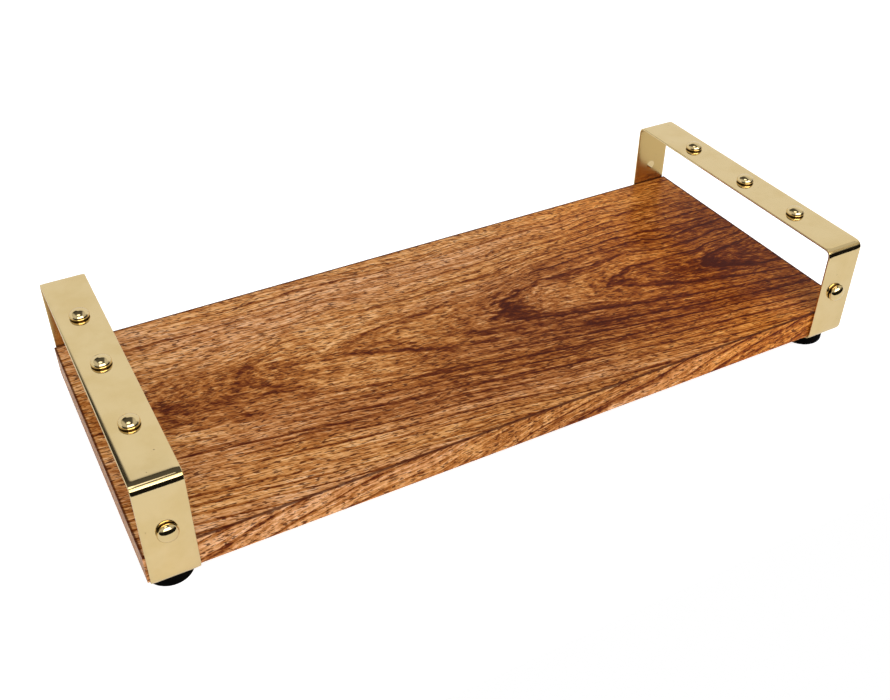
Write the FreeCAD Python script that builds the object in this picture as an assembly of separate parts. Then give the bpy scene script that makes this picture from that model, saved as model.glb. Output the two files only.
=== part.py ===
import FreeCAD, Part
import math
import os

# A long serving board of solid hardwood, carried by two brass handles.
# Each handle is one flat brass strip, bent up over a short end of the board and tucked
# back under it, with domed rivets through the strip and a rubber foot screwed on below.
# Units are millimetres. X runs along the board, Y across it and Z up from the table.
# The origin is on the table, under the centre of the board.

# Board
board_length = 450.0
board_width = 186.0
board_thickness = 19.0
board_arris = 0.7            # rounding of the board's top and upright edges
bottom_edge_clearance = 0.3  # how much rounder the lower long edges are than the strip's bend

# Brass strip of each handle
strap_width = 25.4
strap_thickness = 1.6
bend_radius = 1.6            # inside radius of all four bends
strap_edge_round = 0.4
strap_inset = 1.2            # from the board's end to the strip's outer edge
leg_gap = 0.15               # between the board's long sides and the strip's legs
grip_height = 44.0           # clear height from the board's top to the bridge's underside
return_past_foot = 1.7       # how far the strip's end reaches past the foot
return_corner_radius = 3.0   # rounded corners of the strip's ends

# Domed rivets
rivet_pitch = 50.0           # between neighbouring rivets on a bridge
middle_rivet_drift = 3.0     # the middle hole was marked out by hand, off the centre
leg_rivet_height = 13.0      # above the board's top
rivet_head_diameter = 11.0
rivet_head_height = 4.4
rivet_skirt_height = 1.0     # where the head is widest
rivet_seat_inset = 0.6       # how far the head draws in where it meets the strip
rivet_shoulder_height = 2.3
rivet_shoulder_inset = 0.3
rivet_shank_diameter = 4.0
rivet_hole_clearance = 0.05  # on the radius
rivet_tail_diameter = 6.4    # closed tail, filed flush with the inside of the strip
rivet_tail_depth = 0.8

# Rubber feet
foot_diameter = 25.6
foot_height = 10.5
foot_edge_radius = 1.5
foot_margin = 3.7            # from the board's long side to the foot's rim
foot_well_diameter = 11.0
foot_floor = 4.5             # rubber between the well and the strip

# Washers and screws that hold the feet, the strip and the board together
washer_well_clearance = 0.3  # on the radius
washer_thickness = 1.0
screw_shank_diameter = 3.9
screw_hole_clearance = 0.3   # on the radius, in the foot, the washer and the strip
screw_pilot_clearance = 0.05  # on the radius, in the wood
wood_over_screw = 3.0        # left whole between the screw's point and the board's top
screw_point_length = 3.0
screw_point_diameter = 0.8
screw_head_diameter = 8.0
screw_head_height = 2.8
screw_head_rim = 1.0         # upright part of the head's side
screw_head_flat_diameter = 4.4
screw_recess_width = 1.1
screw_recess_length = 4.2
screw_recess_depth = 1.4
pilot_end_clearance = 0.6

# Levels above the table
return_bottom = foot_height
board_bottom = return_bottom + strap_thickness
board_top = board_bottom + board_thickness
bridge_underside = board_top + grip_height
bridge_top = bridge_underside + strap_thickness

well_top = foot_height - foot_floor
screw_head_seat = well_top - washer_thickness
screw_point = board_top - wood_over_screw

# Places along and across the board
half_length = board_length / 2.0
half_width = board_width / 2.0
leg_inside = half_width + leg_gap
leg_outside = leg_inside + strap_thickness
strap_centre = half_length - strap_inset - strap_width / 2.0
foot_centre = half_width - foot_margin - foot_diameter / 2.0
return_end = foot_centre - foot_diameter / 2.0 - return_past_foot

# Radii
shank_hole_radius = screw_shank_diameter / 2.0 + screw_hole_clearance
pilot_radius = screw_shank_diameter / 2.0 + screw_pilot_clearance
washer_radius = foot_well_diameter / 2.0 - washer_well_clearance

sides = {"left": -1.0, "right": 1.0}
faces = {"front": -1.0, "back": 1.0}

up = FreeCAD.Vector(0.0, 0.0, 1.0)
tiny = 1e-4                  # two places nearer than this are the same


def rounded_outline(corners):
    """Closed YZ outline from (y, z, radius) corners, with a tangent arc at each rounded one."""
    count = len(corners)
    stops = []
    for index in range(count):
        y, z, radius = corners[index]
        here = FreeCAD.Vector(0.0, y, z)
        before = FreeCAD.Vector(0.0, *corners[index - 1][:2]) - here
        after = FreeCAD.Vector(0.0, *corners[(index + 1) % count][:2]) - here
        before.normalize()
        after.normalize()
        if radius == 0.0:
            stops.append((here, None, here))
            continue
        reach = radius / math.tan(before.getAngle(after) / 2.0)
        inward = before + after
        inward.normalize()
        depth = math.hypot(radius, reach) - radius
        stops.append((here + before * reach, here + inward * depth, here + after * reach))
    edges = []
    for index in range(count):
        start, middle, end = stops[index]
        if middle is not None:
            edges.append(Part.Arc(start, middle, end).toShape())
        edges.append(Part.makeLine(end, stops[(index + 1) % count][0]))
    return Part.Wire(edges)


def extrude_outline(outline, start_x, length):
    """Solid made by running a YZ outline along X."""
    face = Part.Face(outline)
    face.translate(FreeCAD.Vector(start_x, 0.0, 0.0))
    return face.extrude(FreeCAD.Vector(length, 0.0, 0.0))


def turned(profile):
    """Solid of revolution about Z from a closed XZ profile of edges."""
    face = Part.Face(Part.Wire(profile))
    return face.revolve(FreeCAD.Vector(0.0, 0.0, 0.0), up, 360.0)


def polyline(points):
    """Straight edges through (radius, height) points, left open at the end."""
    corners = [FreeCAD.Vector(radius, 0.0, height) for radius, height in points]
    return [Part.makeLine(corners[i], corners[i + 1]) for i in range(len(corners) - 1)]


def flat_edges(shape, level):
    """Edges that lie wholly in the plane X = level."""
    found = []
    for edge in shape.Edges:
        at_ends = all(abs(vertex.X - level) < tiny for vertex in edge.Vertexes)
        if at_ends and abs(edge.CenterOfMass.x - level) < tiny:
            found.append(edge)
    return found


def foot_places():
    """Every (name, x, y) where a foot stands."""
    places = []
    for side, side_sign in sides.items():
        for face, face_sign in faces.items():
            places.append((side + "_" + face, side_sign * strap_centre, face_sign * foot_centre))
    return places


def bridge_rivet_places(side_sign):
    """(name, y) of the three rivets on a bridge; the right handle is the left one turned round."""
    drift = -side_sign * middle_rivet_drift
    return [("front", -rivet_pitch), ("middle", drift), ("back", rivet_pitch)]


def make_board():
    """The hardwood board, with blind pilot holes for the four foot screws."""
    low_round = bend_radius + bottom_edge_clearance
    outline = rounded_outline([
        (-half_width, board_bottom, low_round),
        (half_width, board_bottom, low_round),
        (half_width, board_top, board_arris),
        (-half_width, board_top, board_arris),
    ])
    board = extrude_outline(outline, -half_length, board_length)
    end_round = board_arris * 0.9
    for level in (-half_length, half_length):
        board = board.makeFillet(end_round, flat_edges(board, level))
    tip = screw_point_length
    depth = screw_point + pilot_end_clearance - tip - board_bottom
    for name, x, y in foot_places():
        mouth = FreeCAD.Vector(x, y, board_bottom)
        board = board.cut(Part.makeCylinder(pilot_radius, depth, mouth, up))
        cone = Part.makeCone(pilot_radius, screw_point_diameter / 2.0, tip, mouth + up * depth, up)
        board = board.cut(cone)
    return board


def strap_outline():
    """Side view of the bent strip: outside path round, then the inside path back."""
    outer_radius = bend_radius + strap_thickness
    return rounded_outline([
        (-return_end, return_bottom, 0.0),
        (-leg_outside, return_bottom, outer_radius),
        (-leg_outside, bridge_top, outer_radius),
        (leg_outside, bridge_top, outer_radius),
        (leg_outside, return_bottom, outer_radius),
        (return_end, return_bottom, 0.0),
        (return_end, board_bottom, 0.0),
        (leg_inside, board_bottom, bend_radius),
        (leg_inside, bridge_underside, bend_radius),
        (-leg_inside, bridge_underside, bend_radius),
        (-leg_inside, board_bottom, bend_radius),
        (-return_end, board_bottom, 0.0),
    ])


def rivet_hole(centre, outward):
    """Cutter for one rivet: a straight hole, countersunk on the inside of the strip."""
    radius = rivet_shank_diameter / 2.0 + rivet_hole_clearance
    tail_radius = rivet_tail_diameter / 2.0 + rivet_hole_clearance
    inside = centre - outward * strap_thickness
    hole = Part.makeCylinder(radius, strap_thickness, inside, outward)
    countersink = Part.makeCone(tail_radius, radius, rivet_tail_depth, inside, outward)
    return hole.fuse(countersink)


def rivet_places(side_sign):
    """Every (name, centre, outward direction) of a handle's rivets, on the strip's outer face."""
    x = side_sign * strap_centre
    places = []
    for name, y in bridge_rivet_places(side_sign):
        places.append(("bridge_rivet_" + name, FreeCAD.Vector(x, y, bridge_top), up))
    for face, face_sign in faces.items():
        centre = FreeCAD.Vector(x, face_sign * leg_outside, board_top + leg_rivet_height)
        places.append(("leg_rivet_" + face, centre, FreeCAD.Vector(0.0, face_sign, 0.0)))
    return places


def make_strap(side_sign):
    """One handle: the bent brass strip, drilled for its rivets and foot screws."""
    start_x = side_sign * strap_centre - strap_width / 2.0
    strap = extrude_outline(strap_outline(), start_x, strap_width)
    tab_corners = []
    for edge in strap.Edges:
        at_end = abs(abs(edge.CenterOfMass.y) - return_end) < tiny
        rise = abs(edge.Vertexes[0].Z - edge.Vertexes[-1].Z)
        if at_end and rise > tiny:
            tab_corners.append(edge)
    strap = strap.makeFillet(return_corner_radius, tab_corners)
    long_edges = flat_edges(strap, start_x) + flat_edges(strap, start_x + strap_width)
    strap = strap.makeFillet(strap_edge_round, long_edges)
    for name, centre, outward in rivet_places(side_sign):
        strap = strap.cut(rivet_hole(centre, outward))
    for face_sign in faces.values():
        base = FreeCAD.Vector(side_sign * strap_centre, face_sign * foot_centre, return_bottom)
        strap = strap.cut(Part.makeCylinder(shank_hole_radius, strap_thickness, base, up))
    return strap


def make_rivet(centre, outward):
    """A domed rivet: head outside, shank through the strip, tail closed flush inside."""
    head = rivet_head_diameter / 2.0
    seat = head - rivet_seat_inset
    shank = rivet_shank_diameter / 2.0
    shoulder = head - rivet_shoulder_inset
    tail_top = -strap_thickness + rivet_tail_depth
    profile = polyline([
        (0.0, rivet_head_height),
        (0.0, -strap_thickness),
        (rivet_tail_diameter / 2.0, -strap_thickness),
        (shank, tail_top),
        (shank, 0.0),
        (seat, 0.0),
    ])
    skirt = Part.Arc(
        FreeCAD.Vector(seat, 0.0, 0.0),
        FreeCAD.Vector(head, 0.0, rivet_skirt_height),
        FreeCAD.Vector(shoulder, 0.0, rivet_shoulder_height),
    )
    rise = rivet_head_height - rivet_shoulder_height
    dome_radius = (shoulder ** 2 + rise ** 2) / (2.0 * rise)
    half_turn = math.asin(shoulder / dome_radius) / 2.0
    dome_centre = rivet_head_height - dome_radius
    dome_middle = FreeCAD.Vector(
        dome_radius * math.sin(half_turn), 0.0, dome_centre + dome_radius * math.cos(half_turn)
    )
    dome = Part.Arc(
        FreeCAD.Vector(shoulder, 0.0, rivet_shoulder_height),
        dome_middle,
        FreeCAD.Vector(0.0, 0.0, rivet_head_height),
    )
    rivet = turned(profile + [skirt.toShape(), dome.toShape()])
    turn = FreeCAD.Rotation(up, outward)
    rivet.Placement = FreeCAD.Placement(centre, turn)
    return rivet


def make_foot(x, y):
    """A round rubber foot with a well below for the washer and the screw head."""
    place = FreeCAD.Vector(x, y, 0.0)
    foot = Part.makeCylinder(foot_diameter / 2.0, foot_height, place, up)
    rim = [edge for edge in foot.Edges if abs(edge.BoundBox.ZMax) < tiny]
    foot = foot.makeFillet(foot_edge_radius, rim)
    foot = foot.cut(Part.makeCylinder(foot_well_diameter / 2.0, well_top, place, up))
    return foot.cut(Part.makeCylinder(shank_hole_radius, foot_height, place, up))


def make_washer(x, y):
    """The flat steel washer at the top of a foot's well."""
    place = FreeCAD.Vector(x, y, screw_head_seat)
    washer = Part.makeCylinder(washer_radius, washer_thickness, place, up)
    return washer.cut(Part.makeCylinder(shank_hole_radius, washer_thickness, place, up))


def make_screw(x, y):
    """A pan-head wood screw with a cross recess, up through the foot into the board."""
    head_bottom = screw_head_seat - screw_head_height
    rim_bottom = screw_head_seat - screw_head_rim
    shank = screw_shank_diameter / 2.0
    shank_end = screw_point - screw_point_length
    head = screw_head_diameter / 2.0
    crown = screw_head_flat_diameter / 2.0
    profile = polyline([
        (crown, head_bottom),
        (0.0, head_bottom),
        (0.0, screw_point),
        (screw_point_diameter / 2.0, screw_point),
        (shank, shank_end),
        (shank, screw_head_seat),
        (head, screw_head_seat),
        (head, rim_bottom),
    ])
    diagonal = math.sqrt(0.5)
    bulge = Part.Arc(
        FreeCAD.Vector(head, 0.0, rim_bottom),
        FreeCAD.Vector(
            crown + (head - crown) * diagonal, 0.0, rim_bottom - (rim_bottom - head_bottom) * diagonal
        ),
        FreeCAD.Vector(crown, 0.0, head_bottom),
    )
    screw = turned(profile + [bulge.toShape()])
    for length_x, length_y in (
        (screw_recess_length, screw_recess_width),
        (screw_recess_width, screw_recess_length),
    ):
        corner = FreeCAD.Vector(-length_x / 2.0, -length_y / 2.0, head_bottom)
        screw = screw.cut(Part.makeBox(length_x, length_y, screw_recess_depth, corner))
    screw.translate(FreeCAD.Vector(x, y, 0.0))
    return screw


def build_parts():
    """Every piece of the object, by node name."""
    parts = {"board": make_board()}
    for side, side_sign in sides.items():
        parts["handle_strap_" + side] = make_strap(side_sign)
        for name, centre, outward in rivet_places(side_sign):
            parts[side + "_" + name] = make_rivet(centre, outward)
    for name, x, y in foot_places():
        parts["foot_" + name] = make_foot(x, y)
        parts["foot_washer_" + name] = make_washer(x, y)
        parts["foot_screw_" + name] = make_screw(x, y)
    return parts


os.makedirs("parts", exist_ok=True)
for node, solid in build_parts().items():
    if solid.ShapeType == "Compound" and len(solid.Solids) == 1:
        solid = solid.Solids[0]
    solid.exportStep("parts/" + node + ".step")
    box = solid.BoundBox
    print(f"{node}: valid {solid.isValid()}, {len(solid.Solids)} solid, volume {solid.Volume:.1f}, "
          f"z {box.ZMin:.2f} to {box.ZMax:.2f}")
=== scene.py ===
import logging
import math
from collections.abc import Iterable, Iterator, Mapping, Sequence
from dataclasses import dataclass, field
from enum import Enum
from functools import partialmethod

import bmesh
import bpy
from mathutils import Matrix, Vector


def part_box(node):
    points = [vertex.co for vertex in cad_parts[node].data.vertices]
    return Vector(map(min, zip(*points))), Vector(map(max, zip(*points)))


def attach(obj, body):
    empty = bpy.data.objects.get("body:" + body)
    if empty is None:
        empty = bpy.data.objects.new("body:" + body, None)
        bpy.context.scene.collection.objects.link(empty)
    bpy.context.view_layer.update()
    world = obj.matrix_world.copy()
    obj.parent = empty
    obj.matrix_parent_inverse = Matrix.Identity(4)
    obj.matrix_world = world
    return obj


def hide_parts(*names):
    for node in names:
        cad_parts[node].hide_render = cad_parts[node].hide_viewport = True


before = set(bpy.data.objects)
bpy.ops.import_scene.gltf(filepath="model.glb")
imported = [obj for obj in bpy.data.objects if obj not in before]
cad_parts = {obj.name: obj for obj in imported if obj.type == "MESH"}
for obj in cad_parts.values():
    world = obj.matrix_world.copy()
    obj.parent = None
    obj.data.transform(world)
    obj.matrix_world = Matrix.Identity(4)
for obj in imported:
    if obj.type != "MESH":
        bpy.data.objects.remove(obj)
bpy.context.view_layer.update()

# A long serving board of lacquered hardwood with two riveted brass handles, on rubber feet.
# Lengths below are millimetres and are turned into metres by MM where a mesh or a node needs them.

MM = 0.001
Colour = tuple[float, float, float]
log = logging.getLogger("serving_board")

TONE_STOPS = (0.08, 0.28, 0.50, 0.72, 0.92)
UP = Vector((0.0, 0.0, 1.0))


def linear(red: int, green: int, blue: int) -> Colour:
    """Turns a display colour into the linear one that shaders use.

    Args:
        red: Red from 0 to 255.
        green: Green from 0 to 255.
        blue: Blue from 0 to 255.

    Returns:
        The colour as linear red, green and blue.
    """
    parts = [level / 255.0 for level in (red, green, blue)]
    bent = [p / 12.92 if p <= 0.04045 else ((p + 0.055) / 1.055) ** 2.4 for p in parts]
    return (bent[0], bent[1], bent[2])


class Side(Enum):
    """The two ends of the board, each with the sign of its x."""

    LEFT = -1.0
    RIGHT = 1.0


class Face(Enum):
    """The two long sides of the board, each with the sign of its y."""

    FRONT = -1.0
    BACK = 1.0


# ---------------------------------------------------------------- node trees


class Value:
    """A node's output that takes part in plain arithmetic."""

    def __init__(self, bench: "Bench", socket: bpy.types.NodeSocket) -> None:
        """Keeps the socket and the bench that its tree is built on."""
        self.bench = bench
        self.socket = socket

    def out(self, name: str) -> "Value":
        """Another output of the same node, by its name."""
        return Value(self.bench, self.bench.pick(self.socket.node.outputs, name))

    def math(self, operation: str, other: "Value | float" = 0.0, swapped: bool = False) -> "Value":
        """A Math node, such as SINE, FLOOR or MAXIMUM, on this value and another, swapped if asked."""
        terms = {0: other, 1: self} if swapped else {0: self, 1: other}
        return self.bench.node("ShaderNodeMath", {"operation": operation}, terms)

    __add__, __radd__ = partialmethod(math, "ADD"), partialmethod(math, "ADD", swapped=True)
    __sub__, __rsub__ = partialmethod(math, "SUBTRACT"), partialmethod(math, "SUBTRACT", swapped=True)
    __mul__, __rmul__ = partialmethod(math, "MULTIPLY"), partialmethod(math, "MULTIPLY", swapped=True)
    __truediv__ = partialmethod(math, "DIVIDE")


@dataclass
class Bench:
    """A node tree under construction.

    Attributes:
        tree: The shader or geometry tree that nodes are added to.
    """

    tree: bpy.types.NodeTree

    @staticmethod
    def pick(sockets: Iterable[bpy.types.NodeSocket], name: str | int) -> bpy.types.NodeSocket:
        """Finds a socket that is in use, by name or by number."""
        if isinstance(name, int):
            return list(sockets)[name]
        return next(s for s in sockets if s.name == name and s.enabled)

    def node(
        self,
        kind: str,
        settings: Mapping[str, object] | None = None,
        inputs: Mapping[str | int, object] | None = None,
    ) -> Value:
        """Adds a node: its settings first, then the values or links of its sockets.

        Args:
            kind: The node's type.
            settings: The node's own settings. A ramp's colours are given as stops.
            inputs: For each socket, a Value to link or a plain value to set.

        Returns:
            The node's first output in use.
        """
        made = self.tree.nodes.new(kind)
        for name, setting in (settings or {}).items():
            if name == "stops":
                self._set_stops(made.color_ramp, setting)
            else:
                setattr(made, name, setting)
        for name, item in (inputs or {}).items():
            socket = self.pick(made.inputs, name)
            if isinstance(item, Value):
                self.tree.links.new(item.socket, socket)
            elif socket.type == "RGBA" and len(item) == 3:
                socket.default_value = (*item, 1.0)
            else:
                socket.default_value = item
        shown = [s for s in made.outputs if s.enabled]
        return Value(self, shown[0]) if shown else Value(self, made.inputs[0])

    @staticmethod
    def _set_stops(ramp: bpy.types.ColorRamp, stops: Sequence[tuple[float, Colour]]) -> None:
        """Gives a colour ramp its stops."""
        while len(ramp.elements) < len(stops):
            ramp.elements.new(1.0)
        for element, (place, colour) in zip(ramp.elements, stops):
            element.position = place
            element.color = (*colour, 1.0)

    def noise(self, place: Value, scale: float, detail: float = 2.0, rough: float = 0.5) -> Value:
        """Soft noise around 0.5 at a place, with scale in features per unit of the place."""
        return self.node(
            "ShaderNodeTexNoise",
            {"noise_dimensions": "3D"},
            {"Vector": place, "Scale": scale, "Detail": detail, "Roughness": rough},
        )

    def ease(self, value: Value, low: float, high: float) -> Value:
        """A smooth step of a value, 0 at low and 1 at high."""
        return self.node(
            "ShaderNodeMapRange",
            {"interpolation_type": "SMOOTHSTEP"},
            {"Value": value, "From Min": low, "From Max": high},
        )

    def blend(self, amount: Value | float, first: Value | Colour, second: Value | Colour) -> Value:
        """Mixes two colours."""
        return self.node(
            "ShaderNodeMix",
            {"data_type": "RGBA", "clamp_factor": True},
            {"Factor": amount, "A": first, "B": second},
        )

    def tint(self, base: Value, by: Value) -> Value:
        """Multiplies a colour by another."""
        return self.node(
            "ShaderNodeMix",
            {"data_type": "RGBA", "blend_type": "MULTIPLY"},
            {"Factor": 1.0, "A": base, "B": by},
        )

    def scaled(self, vector: Value, factor: Value | float) -> Value:
        """Scales a vector or a colour by a number."""
        inputs = {"Vector": vector, "Scale": factor}
        return self.node("ShaderNodeVectorMath", {"operation": "SCALE"}, inputs)

    def join(self, x: Value | float, y: Value | float, z: Value | float) -> Value:
        """Makes a vector of three numbers."""
        return self.node("ShaderNodeCombineXYZ", {}, {"X": x, "Y": y, "Z": z})

    def split(self, vector: Value) -> tuple[Value, Value, Value]:
        """The three numbers of a vector."""
        apart = self.node("ShaderNodeSeparateXYZ", {}, {"Vector": vector})
        return apart.out("X"), apart.out("Y"), apart.out("Z")

    def vector(self, operation: str, first: Value, second: Value | tuple[float, float, float]) -> Value:
        """A Vector Math node on two vectors."""
        return self.node("ShaderNodeVectorMath", {"operation": operation}, {0: first, 1: second})

    def millimetres(self) -> tuple[Value, Value, Value, Value]:
        """The place on the object in millimetres: the whole vector, then x, y and z."""
        place = self.scaled(self.node("ShaderNodeTexCoord").out("Object"), 1.0 / MM)
        return place, *self.split(place)

    def bump(self, height: Value, depth: float, strength: float, under: Value | None = None) -> Value:
        """Relief from a height, as a normal; depth is the height of 1 in millimetres."""
        inputs: dict[str | int, object] = {"Height": height, "Distance": depth * MM, "Strength": strength}
        if under is not None:
            inputs["Normal"] = under
        return self.node("ShaderNodeBump", {}, inputs)


def new_material(name: str) -> tuple[bpy.types.Material, Bench]:
    """Makes an empty node material and the bench of its tree."""
    material = bpy.data.materials.new(name)
    material.use_nodes = True
    material.node_tree.nodes.clear()
    return material, Bench(material.node_tree)


# ---------------------------------------------------------------- finishes


@dataclass(frozen=True)
class Finish:
    """A finish that is mixed from the place on the object.

    Attributes:
        name: The material's name.
    """

    name: str

    def build(self) -> bpy.types.Material:
        """Makes the material.

        Returns:
            The finished material.
        """
        material, bench = new_material(self.name)
        shader = bench.node("ShaderNodeBsdfPrincipled", {}, self.mix(bench, *bench.millimetres()))
        bench.node("ShaderNodeOutputMaterial", {}, {"Surface": shader})
        return material

    def mix(self, bench: Bench, place: Value, x: Value, y: Value, z: Value) -> dict[str, object]:
        """Adds the nodes that vary over the object.

        Args:
            bench: The material's bench.
            place: Place on the object, in millimetres.
            x: Place along the board.
            y: Place across the board.
            z: Place above the table.

        Returns:
            What goes into each socket of the shader.
        """
        raise NotImplementedError


@dataclass(frozen=True)
class LacqueredHardwood(Finish):
    """Brown hardwood sawn just off the heart, so that its growth rings make long arches.

    Attributes:
        top_level: Height of the board's top.
        half_length: Half the board's length.
        half_width: Half the board's width.
        heart_depth: How far the heart of the tree lies under the top at the board's centre.
        heart_rise: How much the heart rises for each millimetre along the board.
        heart_drift: How much the heart moves forward for each millimetre along the board.
        ring_gap: Width of a usual growth ring.
        palest: The lightest streaks.
        pale: Wood between the rings.
        middle: Usual wood.
        dark: Late wood at a ring's edge.
        stain: The darkest streaks.
        gloss: Strength of the clear lacquer.
    """

    top_level: float
    half_length: float
    half_width: float
    heart_depth: float = 60.0
    heart_rise: float = 0.068
    heart_drift: float = 0.085
    ring_gap: float = 3.7
    palest: Colour = linear(240, 192, 152)
    pale: Colour = linear(212, 153, 100)
    middle: Colour = linear(168, 103, 50)
    dark: Colour = linear(106, 46, 8)
    stain: Colour = linear(68, 19, 2)
    gloss: float = 0.25

    def mix(self, bench: Bench, place: Value, x: Value, y: Value, z: Value) -> dict[str, object]:
        """Adds the streaks, rings and pores of the wood. See Finish.mix."""
        wander = bench.noise(bench.join(x * 0.010, y * 0.018, z * 0.018), 1.0, 2.0) - 0.5
        flutter = bench.noise(bench.join(x * 0.07, y * 0.16, z * 0.16), 1.0, 3.0) - 0.5
        across = y + x * self.heart_drift - 0.5 + wander * 16.0 + flutter * 1.8
        up_from_heart = z - self.top_level + self.heart_depth - x * self.heart_rise + wander * 9.0
        radius = (across * across + up_from_heart * up_from_heart).math("SQRT")

        bands = bench.noise(bench.join(x * 0.0035, radius / self.ring_gap, 2.0), 0.45, 4.0, 0.68)
        streaks = bench.noise(bench.join(x * 0.020, radius * 0.62, z * 0.03), 1.0, 3.0, 0.7)
        fibres = bench.noise(bench.join(x * 0.075, radius * 1.25, across * 0.42), 1.0, 3.0, 0.75)
        within = (radius / self.ring_gap * 0.72 + bands * 1.1 + flutter * 0.35).math("FRACT")
        late = bench.ease(within, 0.66, 0.95) * (1.0 - bench.ease(within, 0.95, 1.0))
        choice = bench.noise(bench.join(x * 0.004, radius * 0.085, 7.0), 1.0, 1.0)

        tone = 0.5 + (bands - 0.5) * 0.62 + (streaks - 0.5) * 0.66 + (fibres - 0.5) * 1.35
        tone = tone - late * bench.ease(choice, 0.30, 0.56) * 0.33
        # Partly painted sheen: the back is kept lighter as if the lacquer mirrored the bright wall behind,
        # and the front right is darker heartwood.
        tone = tone - self._heartwood_and_back_sheen(bench, x, y) * 0.27 + 0.163
        tone = tone - self._cloud(bench, place, (166.0, -24.0), (56.0, 18.0)) * 0.09
        tone = tone - self._cloud(bench, place, (-146.0, 6.0), (72.0, 30.0)) * 0.22
        tone = tone + bench.ease(y, -48.0, -70.0) * (1.0 - bench.ease(x, -100.0, 0.0)) * 0.13
        ripple = bench.noise(bench.join(x * 0.36 + y * 0.20, y * 0.12 - x * 0.02, z * 0.10), 1.0, 2.0, 0.6)
        tone = tone + (ripple - 0.5) * 0.38
        shades = zip(TONE_STOPS, (self.stain, self.dark, self.middle, self.pale, self.palest))
        colour = bench.node("ShaderNodeValToRGB", {"stops": list(shades)}, {"Fac": tone}).out("Color")
        pores = self._pores(bench, x, across, z)
        colour = bench.blend(pores * 0.84, colour, self.stain)
        zone = bench.ease(bench.noise(bench.join(x * 0.006, radius * 0.05, 4.0), 1.0, 2.0), 0.40, 0.62)
        colour = bench.tint(colour, bench.blend(zone, (1.04, 1.00, 0.78), (0.99, 0.95, 0.88)))
        redder = bench.blend(bench.ease(x, 40.0, 170.0), (1.0, 1.0, 1.0), (1.16, 1.0, 0.62))
        colour = bench.tint(colour, redder)
        # Painted shade: a thin dark line in the stain colour along the top's rounded edges.
        colour = bench.blend(self._painted_arris_shade(bench, x, y, z) * 0.85, colour, self.stain)

        normal = bench.bump(1.0 - pores, 0.05, 0.5)
        normal = bench.bump(bench.noise(place, 0.05, 2.0), 0.4, 0.25, normal)
        roughness = bench.noise(bench.join(x * 0.03, y * 0.3, z * 0.3), 1.0, 2.0) * 0.12 + 0.36
        return {
            "Base Color": colour,
            "Roughness": roughness,
            "Specular IOR Level": 0.04,
            "Coat Weight": self.gloss,
            "Coat Roughness": 0.12,
            "Coat IOR": 1.15,
            "Normal": normal,
        }

    @staticmethod
    def _heartwood_and_back_sheen(bench: Bench, x: Value, y: Value) -> Value:
        """How far the wood is drawn darker, 0 at the back left and 1 at the front right: partly darker
        heartwood, partly painted sheen that keeps the back lighter.
        """
        front_edge = bench.ease(y, -52.0, -84.0)
        return bench.ease(x * 0.35 - y, -70.0, 75.0) * (1.0 - front_edge * 0.65)

    def _cloud(
        self, bench: Bench, place: Value, middle: tuple[float, float], reach: tuple[float, float]
    ) -> Value:
        """A dark cloud with torn edges in the wood.

        Args:
            bench: The material's bench.
            place: Place on the board.
            middle: The cloud's middle, along and across the board.
            reach: Its half length and half width.

        Returns:
            0 in clean wood and 1 in the middle of the cloud.
        """
        near = bench.vector("SUBTRACT", place, (*middle, self.top_level))
        near = bench.vector("MULTIPLY", near, (1.0 / reach[0], 1.0 / reach[1], 0.02))
        away = bench.node("ShaderNodeVectorMath", {"operation": "LENGTH"}, {0: near}).out("Value")
        torn = bench.noise(bench.vector("MULTIPLY", place, (0.03, 0.13, 0.13)), 1.0, 4.0, 0.6)
        return 1.0 - bench.ease(away + (torn - 0.5) * 2.2, 0.35, 1.15)

    def _painted_arris_shade(self, bench: Bench, x: Value, y: Value, z: Value) -> Value:
        """The thin dark line of painted shade along the top's rounded edges, 1 there and 0 elsewhere."""
        beside = bench.ease(y.math("ABSOLUTE"), self.half_width - 1.5, self.half_width - 0.8)
        beyond = bench.ease(x.math("ABSOLUTE"), self.half_length - 1.5, self.half_length - 0.8)
        return beside.math("MAXIMUM", beyond) * bench.ease(z, self.top_level - 1.0, self.top_level - 0.5)

    @staticmethod
    def _pores(bench: Bench, x: Value, across: Value, z: Value) -> Value:
        """Short open pores that lie along the grain, 1 in a pore and 0 beside it."""
        slanted = bench.join(x * 0.22, across * 1.15 + x * 0.06, z * 1.15)
        return bench.ease(bench.noise(slanted, 1.0, 1.0), 0.55, 0.62)


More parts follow.
